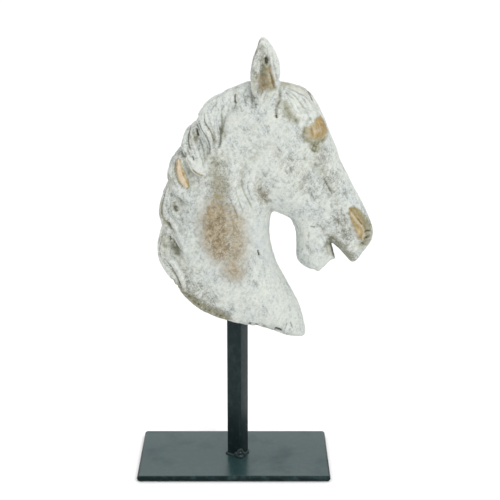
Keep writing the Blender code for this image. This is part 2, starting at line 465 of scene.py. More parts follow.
def smooth_shade(obj: bpy.types.Object, angle: float | None = None) -> None:
    """Shade smooth, all over or only across shallow edges.

    Args:
        obj: The object to shade.
        angle: Edges sharper than this, in degrees, stay crisp.
    """
    activate(obj)
    if angle is None:
        bpy.ops.object.shade_smooth()
    else:
        bpy.ops.object.shade_smooth_by_angle(angle=math.radians(angle))


def settle(obj: bpy.types.Object, node: str, finish: bpy.types.Material) -> None:
    """Give a finished piece its finish in a slot and its body, and hide the CAD node it stands for.

    Args:
        obj: The piece.
        node: The CAD node it stands for.
        finish: The material.
    """
    obj.data.materials.clear()
    obj.data.materials.append(finish)
    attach(obj, BODY)
    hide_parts(node)
    LOG.info("%s: %d faces", obj.name, len(obj.data.polygons))


def curve_through(path: Path, steps: int = 8) -> np.ndarray:
    """Points on a smooth curve through a path.

    Args:
        path: The points the curve passes through.
        steps: How many short pieces each span is cut into.

    Returns:
        The curve's points, one row each.
    """
    knots = np.array([path[0], *path, path[-1]], float)
    t = np.arange(steps)[:, None] / steps
    spans = []
    for a, b, c, d in zip(knots, knots[1:], knots[2:], knots[3:]):
        spans.append(0.5 * (2 * b + (c - a) * t + (2 * a - 5 * b + 4 * c - d) * t ** 2
                            + (3 * b - a - 3 * c + d) * t ** 3))
    return np.vstack([*spans, knots[-1:]])


# --------------------------------------------------------------------------- carving
@dataclass(frozen=True)
class Stroke:
    """One pull of a carving tool along a path on the head's side.

    Attributes:
        path: Points as x, z in millimetres.
        width: The tool's half width in millimetres.
        depth: How far it lifts (or, negative, cuts) in millimetres.
        cut: The tool's shape.
        side: The flank it works on.
        painted_shade: How much shade is painted along the stroke, from 0 to 1.
    """

    path: Path
    width: float
    depth: float
    cut: Cut = Cut.ROUND
    side: Side = Side.BOTH
    painted_shade: float = 0.0


@dataclass(frozen=True)
class Blot:
    """A patch of the finish worn, stained or darkened with painted shade along a path.

    Attributes:
        path: Points as x, z in millimetres.
        width: Its half width in millimetres.
        strength: Its value at the middle; negative rubs the mask away.
        side: The flank it lies on.
        taper: How far its ends thin out, from 0 to 1.
        inner: How near the middle plane it comes, in millimetres.
    """

    path: Path
    width: float
    strength: float = 1.0
    side: Side = Side.BOTH
    taper: float = 0.6
    inner: float = -4.0


class Carver:
    """Works the points of a fine mesh, in millimetres.

    Attributes:
        masks: The stains, worn patches and painted shade it lays.
        ease: The width of the blend across the middle plane.
        fine_depth: How deep a narrow groove counts as fully hollow.
        wide_depth: How deep a broad one does.
    """

    masks = ("bare", "olive", "umber", "grime_and_shade", "crease")
    ease = 4.0
    fine_depth = 0.22
    wide_depth = 0.9

    def __init__(self, obj: bpy.types.Object) -> None:
        """Read the mesh's points.

        Args:
            obj: The object to carve.
        """
        self.obj = obj
        self.mesh = obj.data
        count = len(self.mesh.vertices)
        flat = np.empty(count * 3, np.float32)
        self.mesh.vertices.foreach_get("co", flat)
        self.points = flat.reshape(-1, 3).astype(float) / MM
        self.normals = np.zeros_like(self.points)
        self.paint = {name: np.zeros(count) for name in self.masks}
        self.refresh()

    def refresh(self) -> None:
        """Write the points back and take the new normals."""
        self.mesh.vertices.foreach_set("co", (self.points * MM).astype(np.float32).ravel())
        self.mesh.update()
        flat = np.empty(len(self.points) * 3, np.float32)
        self.mesh.vertex_normals.foreach_get("vector", flat)
        self.normals = flat.reshape(-1, 3).astype(float)

    def flank(self, side: Side) -> np.ndarray:
        """How fully each point lies on a flank, easing to 0 past the middle.

        Args:
            side: The flank asked for.

        Returns:
            A weight from 0 to 1 for each point.
        """
        across = self.points[:, 1]
        if side is Side.BOTH:
            return np.ones(len(across))
        return np.clip(0.5 + side.value * across / self.ease, 0.0, 1.0)

    def off_middle(self, chosen: np.ndarray, inner: float) -> np.ndarray:
        """A weight that falls to 0 at the head's middle plane.

        Args:
            chosen: The points' indices.
            inner: How far from the middle the fall ends, in millimetres.

        Returns:
            A weight from 0 to 1 for each chosen point.
        """
        return np.clip((np.abs(self.points[chosen, 1]) - inner) / self.ease, 0.0, 1.0)

    def measure(self, path: Path, reach: float) -> tuple[np.ndarray, np.ndarray, np.ndarray]:
        """Find the points near a path, seen from the side.

        Args:
            path: The path's points as x, z.
            reach: How far to look, in millimetres.

        Returns:
            The points' indices, their distance from the path (positive on its
            left), and how far along it they lie from 0 to 1.
        """
        line = curve_through(path)
        flat = self.points[:, (0, 2)]
        low, high = line.min(0) - reach, line.max(0) + reach
        near = np.nonzero(((flat > low) & (flat < high)).all(1))[0]
        best = np.full(len(near), 1e9)
        signed, along = best.copy(), np.zeros(len(near))
        lengths = np.linalg.norm(np.diff(line, axis=0), axis=1)
        total, done = max(lengths.sum(), 1e-6), 0.0
        for start, end, length in zip(line, line[1:], lengths):
            way = (end - start) / max(length, 1e-9)
            offset = flat[near] - start
            t = np.clip(offset @ way, 0.0, length)
            gap = np.linalg.norm(offset - t[:, None] * way, axis=1)
            left = way[0] * offset[:, 1] - way[1] * offset[:, 0]
            closer = gap < best
            best[closer] = gap[closer]
            signed[closer] = np.where(left > 0, gap, -gap)[closer]
            along[closer] = ((done + t) / total)[closer]
            done += length
        return near, signed, along

    def stroke(self, stroke: Stroke) -> None:
        """Make one stroke.

        Args:
            stroke: The stroke to make.
        """
        near, gap, along = self.measure(stroke.path, stroke.width * 4)
        ends = np.minimum(along, 1 - along)
        ease = np.sqrt(np.clip(ends * 5, 0.0, 1.0))
        ratio = np.abs(gap) / stroke.width
        if stroke.cut is Cut.ROUND:
            ease = np.clip(0.4 + ends * 4, 0.0, 1.0)
            shape = np.exp(-ratio ** 2)
        elif stroke.cut is Cut.VEE:
            shape = np.exp(-ratio ** 1.2 * 1.4)
            ease = ease * self.off_middle(near, 1.0)
        else:
            shape = np.where(gap > 0, np.exp(-ratio), np.exp(-(ratio * 5.0) ** 2))
        weight = self.flank(stroke.side)[near] * ease * shape
        self.points[near] += self.normals[near] * (stroke.depth * weight)[:, None]
        # shade is painted along the stroke's cut, into the crease mask
        if stroke.painted_shade:
            dark = np.exp(-(np.abs(gap) / (stroke.width * 0.7)) ** 2)
            dark *= stroke.painted_shade * ease * self.flank(stroke.side)[near]
            self.paint["crease"][near] = np.maximum(self.paint["crease"][near], dark)

    def blot(self, mask: str, blot: Blot) -> None:
        """Lay one patch into a mask.

        Args:
            mask: The mask's name.
            blot: The patch to lay.
        """
        near, gap, along = self.measure(blot.path, blot.width * 2.5)
        girth = blot.width * np.sqrt(np.clip(1.05 - (2 * along - 1) ** 2 * blot.taper, 0.05, 1))
        value = np.exp(-(np.abs(gap) / girth) ** 2) * blot.strength
        value *= self.flank(blot.side)[near]
        value *= self.off_middle(near, blot.inner)
        layer = self.paint[mask]
        layer[near] = np.maximum(layer[near], value) if blot.strength > 0 else layer[near] + value

    def grain(self, size: float, depth: float, seed: float) -> None:
        """Roughen the whole surface with cloudy noise.

        Args:
            size: The width of the lumps in millimetres.
            depth: Their height in millimetres.
            seed: A shift of the pattern.
        """
        shift = Vector((seed, seed * 1.7, -seed))
        lift = np.array([noise.fractal(Vector(p) / size + shift, 0.8, 2.1, 4)
                         for p in self.points])
        self.points += self.normals * (lift * depth)[:, None]

    def melt(self, path: Path, reach: float, passes: int) -> None:
        """Smooth the surface away along a path.

        Args:
            path: The points to melt, as x, z.
            reach: How far either side of the path, in millimetres.
            passes: How many rounds of averaging are made.
        """
        near, gap, along = self.measure(path, reach * 2)
        weight = np.zeros(len(self.points))
        weight[near] = np.exp(-(gap / reach) ** 2)
        mean = self.averager()
        for _ in range(passes):
            self.points += (mean(self.points) - self.points) * weight[:, None]

    def averager(self) -> Callable[[np.ndarray], np.ndarray]:
        """Make a function that averages each point with its neighbours.

        Returns:
            The function, which takes and returns one row for each point.
        """
        edges = np.empty(len(self.mesh.edges) * 2, np.int32)
        self.mesh.edges.foreach_get("vertices", edges)
        ends = edges.reshape(-1, 2)
        first = np.concatenate([ends[:, 0], ends[:, 1]])
        other = np.concatenate([ends[:, 1], ends[:, 0]])
        count = len(self.points)
        share = np.maximum(np.bincount(first, minlength=count), 1)
        return lambda points: np.stack(
            [np.bincount(first, points[other, k], count) / share for k in range(3)], 1)

    def cavity(self, passes: int) -> np.ndarray:
        """How far each point lies below its smoothed surroundings.

        Args:
            passes: How many rounds of averaging make the surroundings.

        Returns:
            The depth in millimetres, negative on ridges.
        """
        average, mean = self.averager(), self.points
        for _ in range(passes):
            mean = average(mean)
        return ((mean - self.points) * self.normals).sum(1)

    def save(self) -> None:
        """Write the points and masks into the mesh."""
        self.refresh()
        fine, wide = self.cavity(4) / self.fine_depth, self.cavity(24) / self.wide_depth
        # dirt and painted shade in the hollows, a painted highlight on the ridges
        self.paint["hollow"] = np.clip(fine, 0, 1) * 0.6 + np.clip(wide, 0, 1) * 0.6
        self.paint["ridge"] = np.clip(-fine, 0, 1)
        for name, values in self.paint.items():
            layer = self.mesh.attributes.new(name, "FLOAT", "POINT")
            layer.data.foreach_set("value", values.astype(np.float32))


def comb(outer: Path, inner: Path, count: int, width: float, depth: float,
         painted_shade: float = 0.0) -> list[Stroke]:
    """Comb a lock of hair with grooves that run between its two edges.

    Args:
        outer: The lock's outer edge.
        inner: Its inner edge.
        count: How many grooves it gets.
        width: Each groove's half width.
        depth: Each groove's depth, negative.
        painted_shade: How much shade is painted in the grooves.

    Returns:
        The strokes to make.
    """
    points = 12
    one, two = (resampled(edge, points) for edge in (outer, inner))
    t = np.linspace(0, 1, points)
    made = []
    for i in range(count):
        lane = (i + 0.5) / count + 0.05 * np.sin(2 * math.pi * t + 2.1 * i)
        line = one + (two - one) * lane[:, None]
        # grooves start, stop and deepen unevenly
        start, end = (i * 37 % 10) // 5, points - (i * 53 % 10) // 4
        strength = 0.7 + 0.3 * math.cos(2.7 * i)
        made.append(groove(tuple(map(tuple, line[start:end])), width, depth * strength,
                           painted_shade * strength))
    return made


def resampled(path: Path, count: int) -> np.ndarray:
    """Evenly spaced points on the smooth curve through a path.

    Args:
        path: The points the curve passes through.
        count: How many points to return.

    Returns:
        The points, one row each.
    """
    line = curve_through(path)
    gone = np.concatenate([[0.0], np.cumsum(np.linalg.norm(np.diff(line, axis=0), axis=1))])
    want = np.linspace(0, gone[-1], count)
    return np.stack([np.interp(want, gone, line[:, k]) for k in range(2)], 1)


def groove(path: Path, width: float, depth: float, painted_shade: float = 0.0,
           side: Side = Side.BOTH) -> Stroke:
    """Make a stroke that cuts a narrow groove.

    Args:
        path: The groove's line.
        width: Its half width.
        depth: Its depth, negative.
        painted_shade: How much shade is painted in it.
        side: The flank it lies on.

    Returns:
        The stroke.
    """
    return Stroke(path, width, depth, Cut.VEE, side, painted_shade)


def ledge(path: Path, reach: float, rise: float, painted_shade: float = 0.0) -> list[Stroke]:
    """Raise the left of a path above its right, with a groove at the foot and shade painted in it.

    Args:
        path: The step's edge.
        reach: How far the rise spreads back from the edge.
        rise: The step's height.
        painted_shade: How much shade is painted in the groove.

    Returns:
        The strokes to make.
    """
    return [Stroke(path, reach, rise, Cut.SHELF), groove(path, 0.8, -0.5 * rise, painted_shade)]


# --------------------------------------------------------------------------- the head
@dataclass
class Mane:
    """The wavy mane down the crest and the forelock over the brow.

    Attributes:
        root_reach: How far the roots are smoothed either side, in millimetres.
        root_passes: How many rounds of smoothing they get.
        groove_width: The half width of a combed groove.
        groove_depth: Its depth, negative.
        roots: Where the hair runs out into the neck, as x, z.
        combed: Each lock's outer edge, inner edge, count of grooves and painted shade.
        edges: Where one lock lies over the next: the path, its reach, rise and painted shade.
        ridges: The rounded ridges between the grooves.
        cuts: The cut lines and hollows.
    """

    root_reach: float = 8.0
    root_passes: int = 70
    groove_width: float = 0.95
    groove_depth: float = -0.65
    roots: Path = ((-12, 256), (-18, 240), (-28, 220), (-31, 200), (-30, 178), (-28, 150))
    combed: tuple[tuple[Path, Path, int, float], ...] = (
        (((-24.5, 286), (-26, 281), (-24, 275), (-20, 268.5), (-17.5, 262), (-16.5, 255)),
         ((0, 296), (-2, 288), (-4, 281), (-5.5, 274), (-6.5, 266), (-8.5, 257)), 7, 0.14),
        (((-14, 293), (-16, 287), (-16, 281)), ((12, 303), (11, 296), (9.5, 288)), 8, 0.1),
        (((-34, 271), (-36, 266), (-35.5, 260), (-32, 253), (-27, 247)),
         ((-25, 269), (-22.5, 263), (-21, 256), (-20, 249), (-19, 243)), 6, 0.16),
        (((-42, 256), (-45.5, 250), (-48, 243), (-49, 237), (-48, 231), (-45, 225)),
         ((-39.5, 254), (-42, 248), (-43, 241), (-42.5, 235), (-40, 230), (-36, 224)), 4, 0.3),
        (((-50, 229), (-53, 221), (-54.3, 214), (-54.6, 209), (-52.5, 204)),
         ((-43, 225), (-45, 218), (-45.5, 212), (-44, 206), (-40.5, 201)), 5, 0.3),
        (((-53.5, 196), (-55.5, 188), (-56.3, 181), (-55.5, 174.5), (-52.5, 169.5)),
         ((-48, 193), (-49.3, 186), (-49.5, 180), (-48, 174), (-45, 169)), 4, 0.35),
        (((-47, 196), (-45, 188), (-41, 181)), ((-41, 198), (-38, 190), (-34, 183)), 4, 0.15),
        (((37, 302), (45, 300), (52, 296.5), (57, 291), (61, 284.5)),
         ((36, 297), (39, 293), (41, 289), (44, 284), (48, 280)), 7, 0.12),
    )
    edges: tuple[tuple[Path, float, float, float], ...] = (
        (((-26.5, 280), (-25.5, 277.5), (-24, 275), (-22.5, 271.5), (-20.5, 268.5), (-18.7, 265),
          (-17.5, 261.5), (-17, 257.5), (-17.3, 251)), 4, 1.5, 0.85),
        (((-38.5, 262), (-36.6, 257), (-34.3, 251.5), (-31.5, 246), (-29.5, 242), (-27.8, 240),
          (-25, 238.2), (-21, 236)), 4.5, 1.3, 0.3),
        (((-40.3, 252), (-41.2, 246.5), (-41.6, 242), (-41.2, 238), (-40, 234.5), (-38, 231.5),
          (-34.5, 227.5)), 3.2, 1.8, 0.65),
        (((-54, 206), (-50.3, 204.3), (-47, 200.8), (-43.8, 196.5), (-41.5, 191.5), (-38, 185)), 3,
         1.2, 0.1),
        (((-55, 179), (-51.5, 173), (-47.5, 168), (-43.2, 163.5), (-40.3, 158.5), (-38.3, 153),
          (-36, 147)), 3, 1.4, 0.25),
    )
    ridges: tuple[Stroke, ...] = (
        Stroke(((-23, 281), (-21, 274), (-18, 270), (-16, 264), (-15, 257)), 1.2, 0.8),
        Stroke(((-15, 277), (-12, 271), (-11, 266), (-11.5, 260)), 1.4, 0.8),
        Stroke(((-30.8, 270), (-30, 264), (-28.5, 260), (-26.5, 255), (-25, 249)), 1.4, 0.9),
        Stroke(((-38.6, 249), (-37.8, 243), (-36.3, 238.5), (-34.3, 233.5)), 2.2, 1.3),
        Stroke(((-51.6, 215), (-50, 208.5), (-46.7, 204.5), (-42.8, 200), (-40.8, 194.5),
                (-37.5, 187), (-36, 181)), 1.8, 1.9),
        Stroke(((-52.5, 216), (-50.5, 221), (-46, 226)), 2.2, 0.8),
        Stroke(((-51, 180), (-47.5, 174), (-43.5, 169), (-40, 164), (-37.8, 158), (-36, 151)), 1.9,
               2.2),
        Stroke(((-45.5, 203), (-42.5, 198), (-40.5, 192), (-38, 186)), 1.6, 1.2),
        Stroke(((-53.5, 193), (-54.5, 185), (-53, 178)), 2.0, 0.7),
        Stroke(((-47.5, 196), (-46.5, 188), (-44, 181), (-40, 175)), 3.0, -1.3),
        Stroke(((-48.5, 170.5), (-44.5, 164.5), (-41, 158), (-39, 152)), 1.5, -1.2, painted_shade=0.12),
    )
    cuts: tuple[Stroke, ...] = (
        groove(((-21, 284), (-20.7, 278), (-18.8, 274.5), (-16.5, 271.5), (-15, 268.5),
                (-14.5, 265.5), (-13.2, 261)), 0.8, -1.0, 0.6),
        Stroke(((-14.6, 267), (-13, 263.5)), 1.8, -0.8, painted_shade=0.5),
        groove(((-9.3, 274), (-8.7, 269), (-8.6, 265), (-9, 261.5), (-10, 257.5)), 0.8, -0.9, 0.6),
        groove(((1.6, 297), (1.8, 293), (2.6, 289.5)), 1.2, -1.5, 1.0),
        Stroke(((2.6, 290.2), (2.7, 289.4)), 1.0, -0.8, painted_shade=0.9),
        groove(((5.8, 288), (6.5, 284)), 0.7, -0.6, 0.4),
        groove(((13.5, 298), (13.9, 290)), 1.0, -0.6, 0.3),
        Stroke(((14, 293), (14.3, 286.5)), 1.6, -0.8, painted_shade=0.3),
        Stroke(((16.5, 291), (16.7, 286.8)), 1.4, -0.7, painted_shade=0.3),
        groove(((-31.5, 273), (-32.6, 268), (-33, 264), (-32.3, 260.5), (-30.7, 256)), 1.0, -1.1,
               0.6),
        groove(((-26.9, 272), (-26.2, 269), (-25, 266)), 1.0, -1.4, 1.0),
        groove(((-27.2, 276.5), (-25.8, 273.5), (-24.6, 270.5)), 0.8, -0.9, 0.6),
        groove(((-24.5, 262.5), (-24.4, 255.5)), 0.7, -0.5, 0.35),
        groove(((-35.4, 255.5), (-35.1, 250)), 1.1, -1.0, 0.5),
        groove(((-29.7, 253), (-28.4, 248.7)), 1.0, -1.1, 0.85),
        groove(((-33.7, 249.5), (-31, 243.7)), 0.6, -0.5, 0.4),
        groove(((-31.8, 249.5), (-29.7, 244)), 0.6, -0.5, 0.4),
        groove(((-51.3, 224), (-53.1, 216), (-53.6, 210), (-52.3, 204.5)), 0.9, -0.9, 0.5),
        Stroke(((-44.5, 217), (-42.5, 211)), 2.2, -0.9, painted_shade=0.25),
        Stroke(((-43.6, 213.5), (-42.6, 211), (-41.6, 209)), 1.4, -1.2, painted_shade=0.5),
        Stroke(((-47.6, 203), (-46.7, 199.5), (-46, 196)), 2.0, -1.6, painted_shade=0.6),
        groove(((-47.9, 191), (-46.9, 187)), 0.9, -1.0, 0.8),
        groove(((-46, 189.5), (-44.3, 184.5)), 0.8, -0.7, 0.5),
        groove(((-44.2, 187.5), (-42.8, 184), (-41, 181), (-38, 179)), 1.0, -1.1, 0.75),
        Stroke(((38.5, 290), (40.5, 284), (44, 280.5), (48.5, 278.7)), 3.2, -1.6, painted_shade=0.1),
        groove(((50.5, 301.5), (54, 298.7), (57, 295), (59.2, 290.5)), 0.9, -1.0, 0.8),
    )

    def strokes(self) -> list[Stroke]:
        """Every stroke of the hair, broad ones first.

        Returns:
            The strokes in order.
        """
        made = [stroke for edge in self.edges for stroke in ledge(*edge)]
        made += [*self.ridges, *self.cuts]
        for outer, inner, count, painted_shade in self.combed:
            made += comb(outer, inner, count, self.groove_width, self.groove_depth, painted_shade)
        return made


@dataclass
class Face:
    """The ears, eyes, cheeks, nostrils and lips, and the chipped lower rim.

    Attributes:
        rim: The neck's lower edge, as x, z in millimetres.
        rim_chips: How many chips it gets.
        cheek: The strokes of the cheek and throat.
        bones: Those of the bony ridge down the face.
        eye: Those of the brow, the eye and its lids.
        nostril: Those of the nostril.
        lips: Those of the lips and the chin.
        ear: Those of the ears.
        nicks: The nicks and chips of the neck.
    """

    rim: Path = ((-46, 156), (-38, 146), (-28, 137), (-15, 130.5), (-7, 127.5))
    rim_chips: int = 17
    cheek: tuple[Stroke, ...] = (
        Stroke(((21, 259), (10, 246), (5.5, 232), (9, 219), (17, 209)), 5, -1.2),
        Stroke(((25, 255), (15, 244), (12, 231), (16, 221)), 4, 0.6),
        groove(((6.5, 237), (7.5, 228), (11, 220), (15, 212)), 1.0, -0.6, 0.25),
        groove(((1.5, 230), (4, 220), (8, 210)), 1.0, -0.6, 0.25),
        groove(((10.5, 233), (12, 225), (16, 217)), 0.9, -0.5, 0.2),
        groove(((-3, 222), (1, 213), (4, 204)), 1.0, -0.5, 0.2),
        Stroke(((18.5, 229), (21, 226), (24, 220)), 3, -0.5, painted_shade=0.12),
        Stroke(((38, 232), (50, 226), (62, 216)), 6, -0.6),
    )
    bones: tuple[Stroke, ...] = (
        Stroke(((62, 253), (70, 238), (77, 221)), 2.8, 1.0),
        Stroke(((57, 250), (65, 235), (71, 221)), 3.5, -0.9),
        Stroke(((70, 251), (79, 234), (86, 218)), 3.0, -0.5),
        Stroke(((52.7, 252), (52.7, 250)), 1.4, -0.5, painted_shade=0.35),
        Stroke(((58.4, 223), (60.2, 218)), 1.0, -0.4, painted_shade=0.3),
    )
    eye: tuple[Stroke, ...] = (
        Stroke(((45, 281.5), (52, 282.3), (59, 281.7)), 2.0, 0.9),
        Stroke(((50, 267), (52.5, 275.5), (58.5, 281), (66, 281)), 1.8, -0.5),
        Stroke(((50, 267), (56, 263), (62, 262), (69, 265)), 2.0, -1.0, painted_shade=0.22),
        Stroke(((57.5, 271), (64, 272.5)), 4.0, 1.6),
        Stroke(((51.8, 272), (50.8, 269), (52, 266.5)), 1.3, -0.5, painted_shade=0.3),
        Stroke(((58, 259.5), (62, 258)), 3.4, -1.3, painted_shade=0.1),
        groove(((55.5, 260.5), (59, 256.5), (63, 256)), 0.9, -0.5, 0.25),
        groove(((57.5, 262), (60.5, 259.5), (64, 260)), 0.9, -0.5, 0.25),
        groove(((66.5, 237), (70, 229.5), (74.5, 221)), 0.9, -0.6, 0.3),
        groove(((69.5, 237), (73, 230)), 0.9, -0.4, 0.2),
    )
    nostril: tuple[Stroke, ...] = (
        Stroke(((86, 207), (91, 199), (95.5, 190)), 3.4, 0.9),
        Stroke(((90, 213), (96.5, 205), (102, 197)), 2.2, -0.7),
        Stroke(((87, 209), (92, 202), (97, 196.2)), 1.1, 0.9),
        Stroke(((96.5, 197), (98, 193), (97.6, 187.5)), 1.1, 1.0),
        Stroke(((100.6, 190), (101.3, 187.5)), 2.1, -2.4, painted_shade=0.9),
        groove(((98, 189.5), (98.9, 187)), 1.0, -0.8, 0.8),
        groove(((96.2, 184.8), (98.5, 183)), 0.9, -0.7, 0.7),
        groove(((93, 204), (96.5, 198.5)), 0.8, -0.6, 0.4),
        groove(((98, 192.8), (101, 193.6), (103.8, 192.4)), 0.9, -1.0, 0.7),
    )
    lips: tuple[Stroke, ...] = (
        Stroke(((80, 188.5), (86, 181.5), (92, 176)), 3.5, 0.8),
        Stroke(((65, 183), (68.5, 174)), 4, 0.7),
        groove(((72.5, 188.5), (76, 185.5), (79.7, 181.5)), 1.4, -0.5, 0.4),
        Stroke(((73.4, 184), (74.9, 178.5), (76.3, 173), (77, 170.6)), 1.7, -0.2, painted_shade=1.0),
        groove(((57.3, 197.2), (62, 196.2)), 1.1, -0.7, 0.5),
        groove(((56.9, 193), (56.5, 186)), 1.0, -0.6, 0.2),
        Stroke(((78.4, 203.5), (80.6, 198)), 1.5, -0.6, painted_shade=0.3),
        Stroke(((73.6, 213), (74.4, 211.5)), 1.6, -0.5, painted_shade=0.25),
        Stroke(((67, 190), (62, 183), (60, 174)), 3, -0.6),
    )
    ear: tuple[Stroke, ...] = (
        Stroke(((23.5, 325), (22.5, 316), (23.5, 307), (25, 300)), 3.4, -1.9),
        Stroke(((21, 326), (20, 318), (18.3, 310), (17.5, 302)), 1.8, 0.8),
        Stroke(((26.8, 327), (27.9, 320), (28.6, 315), (30, 310), (31.5, 303.5)), 1.1, 1.6),
        groove(((27.3, 313), (29, 307), (30.5, 300.5)), 1.3, -1.0, 0.4),
        Stroke(((24.8, 326.3), (22.8, 321.5), (24.7, 316.8), (26.9, 321.5), (24.9, 326.2)), 0.9,
               0.6),
        Stroke(((24.7, 323.6), (25, 319)), 1.5, -2.0, painted_shade=1.0),
        Stroke(((16, 307), (16, 301), (18, 295)), 2.6, 1.1),
        Stroke(((16.3, 313.5), (18, 308.5)), 1.6, -0.4, painted_shade=0.3),
        Stroke(((18, 301.5), (18.3, 298.5)), 1.0, -0.5, painted_shade=0.45),
        Stroke(((34, 300), (34.6, 294), (32.4, 289.3), (31.4, 285.5), (31.8, 281)), 1.3, -0.8,
               painted_shade=0.32),
        Stroke(((31.8, 283), (31.8, 280.6)), 1.2, -1.0, painted_shade=0.9),
    )
    nicks: tuple[Stroke, ...] = (
        groove(((18.6, 180.8), (19.7, 176.2)), 1.0, -1.1, 1.0),
        Stroke(((11.5, 122.4), (13.7, 122.0)), 1.6, -1.2, side=Side.NEAR, painted_shade=1.1),
        Stroke(((16.2, 121.2), (19.2, 120.4)), 1.6, -1.2, side=Side.NEAR, painted_shade=1.1),
        Stroke(((31.0, 117.6), (34, 116.8), (37, 115.2)), 1.9, -1.8, side=Side.NEAR, painted_shade=1.2),
        groove(((41, 122.5), (39, 117)), 0.8, -0.7, 0.45, Side.NEAR),
        groove(((43.6, 123), (45.4, 117)), 0.8, -0.6, 0.4, Side.NEAR),
    )

    def strokes(self) -> list[Stroke]:
        """Every stroke of the face, broad ones first.

        Returns:
            The strokes in order.
        """
        kinds = ((-0.9, 0.5), (0.6, 0.0), (-0.5, 0.25))
        spots = resampled(self.rim, self.rim_chips)
        chips = [Stroke(((x - 0.8, z + 0.6), (x + 0.8, z - 0.2)), 1.4, depth, painted_shade=painted_shade)
                 for (x, z), (depth, painted_shade) in zip(spots, cycle(kinds))]
        return [*chips, *self.cheek, *self.bones, *self.eye, *self.nostril, *self.lips,
                *self.ear, *self.nicks]


